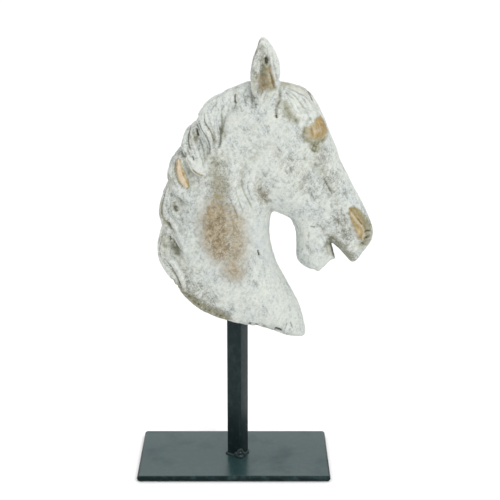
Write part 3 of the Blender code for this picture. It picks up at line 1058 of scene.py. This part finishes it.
@dataclass
class Wear:
    """Where the whitewash is rubbed through or stained, and where shade is painted on it.

    Attributes:
        rim: The neck's lower edge, as x, z in millimetres.
        bare: The patches rubbed through to the wood.
        umber: Brown stains, and a little brown shade painted under the lower edge.
        olive: Greenish stains, and olive shade painted round the eye, in the valleys of the lower
            locks and under the lower edge.
        grime_and_shade: Where dirt has settled, and shade painted along the mane's outline and
            under the lower edge; negative where it is wiped clean.
        crease: Shade painted as dark lines in the nostril and along the lower edges.
    """

    rim: Path = ((-45, 155), (-38, 147), (-28, 138), (-15, 131), (-6, 128))
    bare: tuple[Blot, ...] = (
        Blot(((57.5, 270.5), (63, 272), (70, 273)), 6.4, 1.0, inner=5.5),
        Blot(((60, 267), (66, 267)), 3.4, 0.9, inner=5.5),
        Blot(((62, 278), (67, 276)), 3.6, 1.0, inner=5.5),
        Blot(((87.5, 211), (91.5, 206), (95, 199.5), (97.5, 192.5), (98, 187.5)), 4.5, 1.0,
             taper=1.0, inner=2.5),
        Blot(((-40, 249.5), (-40, 245), (-39.2, 240.5), (-37.6, 236), (-35.4, 232), (-33.4, 228.5)),
             3.0, 1.4, Side.NEAR, taper=1.0),
        Blot(((-39.5, 244), (-37.6, 236)), 2.4, 0.8, Side.FAR, inner=2.5),
        Blot(((28, 309), (28.5, 305), (28.3, 300)), 2.4, 0.55),
        Blot(((24, 319), (24.5, 311)), 2.4, 0.42),
        Blot(((-13.5, 222.5), (-10.5, 222)), 2.2, 0.58, Side.NEAR),
        Blot(((-4.5, 217.5), (-3, 215)), 2.2, 0.42, Side.NEAR),
        Blot(((-29.5, 242), (-27, 239.8), (-23, 237.5)), 1.5, 0.55, Side.NEAR),
    )
    umber: tuple[Blot, ...] = (
        Blot(((88, 210), (91.5, 199), (94.5, 189)), 3.4, 1.0, inner=2.5),
        Blot(((54, 272), (56, 267)), 4.5, 0.9, inner=5.5),
        Blot(((26.5, 316), (27.3, 307), (27.5, 300.5)), 3.6, 0.8),
        Blot(((20, 309), (22, 301)), 5.5, 0.8),
        Blot(((33.5, 298), (33.5, 293)), 3.0, 0.35),
        Blot(((36, 303), (45, 301), (52, 297.5), (58, 291), (61, 285)), 1.6, 0.55),
        Blot(((-13, 208), (-13, 196), (-9, 183)), 14.0, 1.15, Side.NEAR, 0.2),
        Blot(((-4, 213), (-2, 206)), 8.0, 0.8, Side.NEAR, 0.2),
        Blot(((0, 204), (2, 188), (1, 176)), 12.5, 0.85, Side.NEAR, 0.2),
        Blot(((-2, 180), (1, 166)), 12.5, 0.8, Side.NEAR, 0.2),
        Blot(((-12, 206), (-6, 192)), 9.0, 0.8, Side.FAR),
        # brown shade painted under the lower edge
        Blot(((-48, 158), *rim), 3.5, 0.25),
        Blot(((-14, 240), (-10, 226), (-6, 217)), 11.0, 0.4),
        Blot(((-8, 214), (-4, 222)), 4.0, 0.5),
        Blot(((17, 231), (20, 226), (24, 220)), 5.0, 0.45, Side.NEAR),
        Blot(((29.5, 262), (32, 254)), 3.5, 0.4, Side.NEAR),
    )
    olive: tuple[Blot, ...] = (
        Blot(((89, 211), (96, 203), (99, 197)), 3.2, 0.8),
        # olive shade painted round the eye's back and lower edge
        Blot(((53, 273), (54, 267), (59, 264), (68, 265)), 3.4, 1.0),
        Blot(((97.5, 201), (101, 195), (101, 186), (96.5, 183.5)), 4.0, 1.1),
        Blot(((15.5, 309), (16.5, 297)), 3.0, 0.7),
        Blot(((34, 299), (34, 293), (31.5, 287)), 3.6, 0.45),
        Blot(((24.5, 320), (23, 310), (24.5, 302)), 5.0, 0.75),
        Blot(((-14, 250), (-11, 238), (-9, 222)), 12.5, 0.5),
        Blot(((-15, 247), (-12, 238), (-12, 229)), 7.0, 0.65),
        Blot(((38, 290), (41, 284), (46, 280)), 4.6, 0.9),
        Blot(((58, 261), (62, 258.5)), 5.5, 1.0),
        Blot(((60, 252), (68, 238), (75, 222), (78, 215)), 4.2, 0.45),
        Blot(((93, 184), (97, 179)), 4.0, 0.6),
        Blot(((71, 183), (73, 174)), 3.0, 0.8),
        Blot(((74, 188), (80, 181.5), (86, 175), (89.5, 170.5)), 5.5, 0.58),
        Blot(((-28, 268), (-29, 261)), 4.0, 0.6),
        Blot(((-6.5, 274), (-6.5, 266)), 2.5, 0.6),
        Blot(((1, 301), (3, 291)), 4.0, 0.5),
        # olive shade painted in the valleys and along the edges of the lower locks
        Blot(((-45, 217), (-43, 211)), 3.0, 0.7),
        Blot(((-53, 217), (-54.5, 208), (-52, 204), (-48, 200)), 2.6, 0.8),
        Blot(((-53, 190), (-51, 177)), 4.0, 0.7),
        Blot(((-47, 189), (-42, 182)), 4.0, 0.7),
        Blot(((-47.5, 237), (-45, 227)), 4.0, 0.5),
        # olive shade painted under the lower edge
        Blot(rim, 6.0, 0.8),
        Blot(((36, 303), (42, 301)), 2.0, 0.7),
        Blot(((30.5, 304), (31.5, 300)), 2.0, 1.0),
        Blot(((16.5, 313), (18, 307)), 2.5, 0.6),
        Blot(((23, 121), (25.5, 119)), 2.0, 0.9, Side.NEAR),
    )
    grime_and_shade: tuple[Blot, ...] = (
        Blot(((96, 203), (100.5, 194), (99, 185)), 5.0, 1.2),
        Blot(((-12, 248), (-8, 220)), 14.0, 0.4),
        Blot(((76, 186), (83, 178), (90, 171)), 7.0, 0.8),
        # shade painted along the mane's outer outline, where it turns away
        Blot(((-29, 272), (-32, 258), (-40, 246), (-46, 232), (-50, 215), (-50, 200), (-52, 186),
              (-50, 172), (-42, 158)), 9.0, 0.32),
        Blot(((60, 262), (68, 244), (77, 224)), 7.0, 0.45),
        Blot(((36, 250), (48, 240), (58, 228)), 12.0, 0.36),
        # shade painted under the lower edge
        Blot(((-40, 163), (-30, 150), (-15, 141)), 9.0, 0.45),
        Blot(((14, 206), (22, 190), (28, 176)), 8.0, -0.7),
        Blot(((21, 330), (18, 315), (20, 298)), 7.0, 0.8),
        # shade painted under the lower edge
        Blot(rim, 8.0, 1.1),
        Blot(((-9, 246), (-8, 225)), 8.0, 0.4),
        Blot(((-17, 273), (-12, 260)), 6.0, 0.4),
        Blot(((78, 205), (85, 188)), 9.0, 0.6),
        Blot(((20, 230), (23, 221)), 7.0, 0.7),
        Blot(((34, 284), (46, 281)), 5.0, 0.4),
    )
    crease: tuple[Blot, ...] = (
        # shade painted in the nostril and along the lower edges
        Blot(((98.5, 198), (101, 191.5), (98.5, 185.5)), 3.0, 0.48, inner=2.0),
        Blot(((-46, 157), *rim), 2.0, 0.35),
        Blot(((8, 122.6), (20, 119.6), (36, 115), (48, 110.5)), 1.0, 0.5, Side.NEAR),
    )

    def lay(self, carver: Carver) -> None:
        """Lay every patch into its mask.

        Args:
            carver: The head's carver.
        """
        for mask in carver.masks:
            for blot in getattr(self, mask):
                carver.blot(mask, blot)


@dataclass
class HorseHead:
    """The carved head and neck.

    Attributes:
        source: The CAD node.
        finish: The whitewash.
        mane: The hair's carving.
        face: The face's carving.
        wear: The worn and stained patches, and the painted shade.
        weld: How near two points merge.
        voxel: The fine skin's cell size.
        most_faces: How many triangles are kept.
        roughness: The size, depth and seed of each layer of lumps.
        ease_passes: Rounds of smoothing before the carving starts.
        lip_ease: The share of that smoothing that the lips get.
        lip_middle: The middle of the lips, as x, z in millimetres.
        lip_reach: How far round it they reach, in millimetres.
        cut_reach: How far the mouth's cutter stands out either side.
        mouth: The cutter's outline, as x, z in millimetres.
        lip: The lower lip's filling, as distances out and outlines.
        chin: The chin's filling, in the same form.
    """

    source: bpy.types.Object
    finish: Whitewash = field(default_factory=Whitewash)
    mane: Mane = field(default_factory=Mane)
    face: Face = field(default_factory=Face)
    wear: Wear = field(default_factory=Wear)
    weld: float = 0.01 * MM
    voxel: float = 0.7 * MM
    most_faces: int = 190_000
    roughness: tuple[tuple[float, float, float], ...] = ((9.0, 0.35, 3.0), (2.6, 0.16, 11.0))
    ease_passes: int = 12
    lip_ease: float = 0.3
    lip_middle: Point = (76, 174)
    lip_reach: float = 14.0
    cut_reach: float = 30.0
    mouth: Path = ((73.7, 183.4), (77.7, 169.6), (79, 160), (94, 160), (89.1, 167.2), (82.2, 175.2),
                   (78, 179.3))
    lip: tuple[tuple[float, Path], ...] = (
        (4.5, ((68, 182), (75, 182), (78.3, 169.8), (77.7, 168.8), (71.8, 168), (66, 172))),
        (9.5, ((66, 182), (71, 182), (73.8, 171.6), (71.5, 170.4), (65, 172.5))))
    chin: tuple[tuple[float, Path], ...] = (
        (3.5, ((51.5, 165), (64.8, 158.2), (66.2, 158.6), (70.8, 166))),
        (7.5, ((54, 167.5), (64.5, 162.5), (69, 168))))

    def build(self) -> bpy.types.Object:
        """Carve the head from its CAD solid.

        Returns:
            The finished piece.
        """
        obj = self.block()
        carver = Carver(obj)
        carver.melt(self.mane.roots, self.mane.root_reach, self.mane.root_passes)
        carver.refresh()
        for group in (self.mane.strokes(), self.face.strokes()):
            for stroke in group:
                carver.stroke(stroke)
            carver.refresh()
        for size, depth, seed in self.roughness:
            carver.grain(size, depth, seed)
        self.wear.lay(carver)
        carver.save()
        obj.data.calc_loop_triangles()
        apply_modifier(obj, "DECIMATE", ratio=self.most_faces / len(obj.data.loop_triangles))
        smooth_shade(obj)
        settle(obj, "horse_head", self.finish.make())
        return obj

    def block(self) -> bpy.types.Object:
        """Copy the CAD solid as one fine, eased skin.

        Returns:
            The block to carve.
        """
        obj = bpy.data.objects.new("carved_head", self.source.data.copy())
        bpy.context.scene.collection.objects.link(obj)
        activate(obj)
        bpy.ops.object.mode_set(mode="EDIT")
        bpy.ops.mesh.select_all(action="SELECT")
        bpy.ops.mesh.remove_doubles(threshold=self.weld)
        bpy.ops.object.mode_set(mode="OBJECT")
        self.part_lips(obj)
        apply_modifier(obj, "REMESH", mode="VOXEL", voxel_size=self.voxel)
        eased = obj.vertex_groups.new(name="eased")
        lips = Vector((self.lip_middle[0], 0.0, self.lip_middle[1])) * MM
        for vertex in obj.data.vertices:
            close = (vertex.co - lips).length < self.lip_reach * MM
            eased.add([vertex.index], self.lip_ease if close else 1.0, "REPLACE")
        apply_modifier(obj, "SMOOTH", factor=0.5, iterations=self.ease_passes,
                       vertex_group="eased")
        obj.vertex_groups.clear()
        return obj

    def part_lips(self, obj: bpy.types.Object) -> None:
        """Square up the lower lip and cut the open mouth right through.

        Args:
            obj: The block.
        """
        count = len(self.mouth)
        ends = [(x * MM, side * self.cut_reach * MM, z * MM)
                for side in (-1, 1) for x, z in self.mouth]
        walls = [(i, (i + 1) % count, (i + 1) % count + count, i + count) for i in range(count)]
        cut = bpy.data.meshes.new("mouth_cut")
        cut.from_pydata(ends, [], [tuple(reversed(range(count))),
                                   tuple(range(count, 2 * count)), *walls])
        fills = [bpy.data.meshes.new("lip_fill"), bpy.data.meshes.new("chin_fill")]
        for fill, rows in zip(fills, (self.lip, self.chin)):
            fill.from_pydata([(x * MM, side * out * MM, z * MM) for out, path in rows
                              for side in (-1, 1) for x, z in path], [], [])
        for mesh in (*fills, cut):
            tool = bpy.data.objects.new(mesh.name, mesh)
            bpy.context.scene.collection.objects.link(tool)
            activate(tool)
            bpy.ops.object.mode_set(mode="EDIT")
            bpy.ops.mesh.select_all(action="SELECT")
            if mesh in fills:
                bpy.ops.mesh.convex_hull()
            bpy.ops.mesh.normals_make_consistent(inside=False)
            bpy.ops.object.mode_set(mode="OBJECT")
            activate(obj)
            apply_modifier(obj, "BOOLEAN", solver="EXACT", object=tool,
                           operation="UNION" if mesh in fills else "DIFFERENCE")
            bpy.data.objects.remove(tool)


# --------------------------------------------------------------------------- the stand
def rounded_bar(name: str, size: Vector, middle: tuple[float, float, float], corner: float,
                turn: float = 0.0) -> bpy.types.Object:
    """Model a straight bar or plate whose upright edges are rounded.

    Args:
        name: The object's name.
        size: Its size along each axis before it is turned.
        middle: Its centre.
        corner: The radius of the upright edges.
        turn: Its turn about the upright axis.

    Returns:
        The object, with its place in its mesh.
    """
    deselect()
    bpy.ops.mesh.primitive_cube_add(size=1.0, location=middle, rotation=(0, 0, turn), scale=size)
    obj = bpy.context.object
    obj.name = name
    bake_place(obj)
    bpy.ops.object.mode_set(mode="EDIT")
    bpy.ops.mesh.select_all(action="DESELECT")
    bpy.ops.object.mode_set(mode="OBJECT")
    for edge in obj.data.edges:
        low, high = (obj.data.vertices[v].co.z for v in edge.vertices)
        edge.select = abs(high - low) > size.z / 2
    bpy.ops.object.mode_set(mode="EDIT")
    bpy.ops.mesh.bevel(offset=corner, segments=8)
    bpy.ops.object.mode_set(mode="OBJECT")
    return obj


@dataclass
class StandPost:
    """The square post, one corner towards the front."""

    side: float = 12.7 * MM
    corner: float = 1.65 * MM
    turn: float = math.radians(-31.0)
    centre_x: float = 2.8 * MM
    foot: float = 5.1 * MM
    top: float = 143.0 * MM

    def build(self, finish: bpy.types.Material) -> bpy.types.Object:
        """Model the post.

        Args:
            finish: The paint.

        Returns:
            The finished piece.
        """
        size = Vector((self.side, self.side, self.top - self.foot))
        middle = (self.centre_x, 0, (self.foot + self.top) / 2)
        obj = rounded_bar("square_post", size, middle, self.corner, self.turn)
        smooth_shade(obj, CRISP_ANGLE)
        settle(obj, "stand_post", finish)
        return obj


@dataclass
class BasePlate:
    """The flat rectangular foot."""

    length: float = 150 * MM
    width: float = 85 * MM
    thick: float = 4.8 * MM
    corner: float = 2.5 * MM
    edge: float = 0.5 * MM

    def build(self, finish: bpy.types.Material) -> bpy.types.Object:
        """Model the foot.

        Args:
            finish: The paint.

        Returns:
            The finished piece.
        """
        size = Vector((self.length, self.width, self.thick))
        obj = rounded_bar("foot_plate", size, (0, 0, self.thick / 2), self.corner)
        apply_modifier(obj, "BEVEL", width=self.edge, segments=4, limit_method="ANGLE",
                       angle_limit=math.radians(60))
        smooth_shade(obj, CRISP_ANGLE)
        settle(obj, "base_plate", finish)
        return obj


@dataclass
class WeldBead:
    """The lumpy weld run round the post's foot.

    Attributes:
        post: The post it runs round.
        lumps: How many beads go once round.
        radius: A bead's usual radius.
        swell: How much the beads vary in size, slowly round the post.
        ripple: How much they vary from one to the next.
        heap: How many more beads are heaped at the front corner.
        heap_height: How high they reach.
        heap_spread: How far they stray along the post's faces.
        heap_girth: The lowest of them, against the usual radius.
        heap_taper: How much thinner the heap gets at its top.
        voxel: The cell size of the skin that joins the beads.
        ease_passes: Rounds of smoothing on that skin.
        crisp: Edges sharper than this, in degrees, stay crisp.
        floor: The height of its flat underside.
    """

    post: StandPost
    lumps: int = 30
    radius: float = 1.35 * MM
    swell: float = 0.22
    ripple: float = 0.12
    heap: int = 12
    heap_height: float = 6.5 * MM
    heap_spread: float = 4.0 * MM
    heap_girth: float = 2.1
    heap_taper: float = 1.2
    voxel: float = 0.3 * MM
    ease_passes: int = 3
    crisp: float = 50.0
    floor: float = 5.1 * MM

    def build(self, finish: bpy.types.Material) -> bpy.types.Object:
        """Model the weld as a run of overlapping beads, heaped at the front corner.

        Args:
            finish: The paint.

        Returns:
            The finished piece.
        """
        deselect()
        half = self.post.side / 2
        turn = Matrix.Rotation(self.post.turn, 3, "Z")
        centre = Vector((self.post.centre_x, 0, self.floor))
        beads = []
        for i in range(self.lumps):
            along = i / self.lumps * 4
            edge, t = int(along), (along % 1) * 2 - 1
            local = Matrix.Rotation(edge * math.pi / 2, 3, "Z") @ Vector((half, t * half, 0))
            girth = 1 + self.swell * math.sin(2.4 * i) + self.ripple * math.sin(5.1 * i + 1)
            beads.append(self.bead(turn @ local + centre, self.radius * girth))
        for i in range(self.heap):
            rise = i / self.heap
            slide = self.heap_spread * (1 - rise) * math.sin(2.6 * i)
            local = Vector((half - max(slide, 0), -half + max(-slide, 0), 0)) * 0.98
            spot = turn @ local + centre + Vector((0, 0, rise * self.heap_height))
            beads.append(self.bead(spot, self.radius * (self.heap_girth - self.heap_taper * rise)))
        activate(beads[0])
        for bead in beads:
            bead.select_set(True)
        bpy.ops.object.join()
        obj = bpy.context.object
        obj.name = "weld_run"
        bake_place(obj)
        apply_modifier(obj, "REMESH", mode="VOXEL", voxel_size=self.voxel)
        apply_modifier(obj, "SMOOTH", factor=0.5, iterations=self.ease_passes)
        bpy.ops.object.mode_set(mode="EDIT")
        bpy.ops.mesh.select_all(action="SELECT")
        bpy.ops.mesh.bisect(plane_co=(0, 0, self.floor), plane_no=(0, 0, 1), use_fill=True,
                            clear_inner=True)
        bpy.ops.object.mode_set(mode="OBJECT")
        smooth_shade(obj, self.crisp)
        settle(obj, "weld_bead", finish)
        return obj

    def bead(self, spot: Vector, radius: float) -> bpy.types.Object:
        """Add one round bead.

        Args:
            spot: Its centre.
            radius: Its radius.

        Returns:
            The bead.
        """
        bpy.ops.mesh.primitive_ico_sphere_add(subdivisions=3, radius=radius, location=spot)
        return bpy.context.object


# --------------------------------------------------------------------------- the studio
@dataclass
class Studio:
    """A plain pale floor, soft light and a long lens."""

    floor_size: float = 16.0
    key_place: tuple[float, float, float] = (0.6, -1.2, 1.2)
    key_aim: tuple[float, float, float] = (0.0, 0.0, 0.2)
    key_size: float = 0.6
    key_power: float = 7.5
    sky: float = 0.64
    overhead: float = 1.35
    overhead_spread: float = 120.0
    camera_place: tuple[float, float, float] = (0.0126, -0.9171, 0.4481)
    camera_tilt: float = math.radians(73.4)
    lens: float = 90.0

    def build(self) -> None:
        """Set up the floor, the light and the camera."""
        deselect()
        bpy.ops.mesh.primitive_plane_add(size=self.floor_size, location=(0, 0, 0))
        floor = bpy.context.object
        floor.name = "studio_floor"
        bake_place(floor)
        floor.data.materials.append(StudioFloor().make())
        self.key()
        self.sun()
        self.sky_light()
        self.camera()
        bpy.context.scene.view_settings.view_transform = "Standard"

    def key(self) -> None:
        """Add one soft square light aimed at the middle of the sculpture."""
        deselect()
        aim = Vector(self.key_aim) - Vector(self.key_place)
        bpy.ops.object.light_add(type="AREA", location=self.key_place,
                                 rotation=aim.to_track_quat("-Z", "Y").to_euler())
        lamp = bpy.context.object
        lamp.name = "key"
        lamp.data.size = self.key_size
        lamp.data.energy = self.key_power

    def sun(self) -> None:
        """Light everything evenly from straight above, very softly."""
        deselect()
        bpy.ops.object.light_add(type="SUN", location=(0, 0, 2))
        lamp = bpy.context.object
        lamp.name = "overhead"
        lamp.data.angle = math.radians(self.overhead_spread)
        lamp.data.energy = self.overhead

    def sky_light(self) -> None:
        """Surround everything with even white light."""
        world = bpy.data.worlds.new("white_studio")
        world.use_nodes = True
        back = world.node_tree.nodes["Background"]
        back.inputs["Color"].default_value = (1.0, 1.0, 1.0, 1.0)
        back.inputs["Strength"].default_value = self.sky
        bpy.context.scene.world = world

    def camera(self) -> None:
        """Place the camera a little above the head's height."""
        deselect()
        bpy.ops.object.camera_add(location=self.camera_place, rotation=(self.camera_tilt, 0, 0))
        camera = bpy.context.object
        camera.name = "studio_camera"
        camera.data.lens = self.lens
        camera.data.sensor_width = 36.0
        camera.data.clip_end = 50.0
        bpy.context.scene.camera = camera


def main() -> None:
    """Build the sculpture and its studio around the CAD frame."""
    logging.basicConfig(level=logging.INFO, format="%(name)s: %(message)s")
    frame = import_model()
    Studio().build()
    post = StandPost()
    post.build(BlackSteel("black_steel_post", gloss=0.2).make())
    plate = BasePlate()
    # the plate's dust colour is also painted on its top as a sheen
    plate.build(BlackSteel("black_steel_plate", (0.005, 0.010, 0.011),
                           (0.026, 0.048, 0.050), gloss=0.12,
                           coated_above=plate.thick - 0.1 * MM).make())
    WeldBead(post).build(BlackSteel("black_steel_weld", gloss=0.5).make())
    HorseHead(frame["nodes"]["horse_head"]).build()
    deselect()


if __name__ == "__main__":
    main()
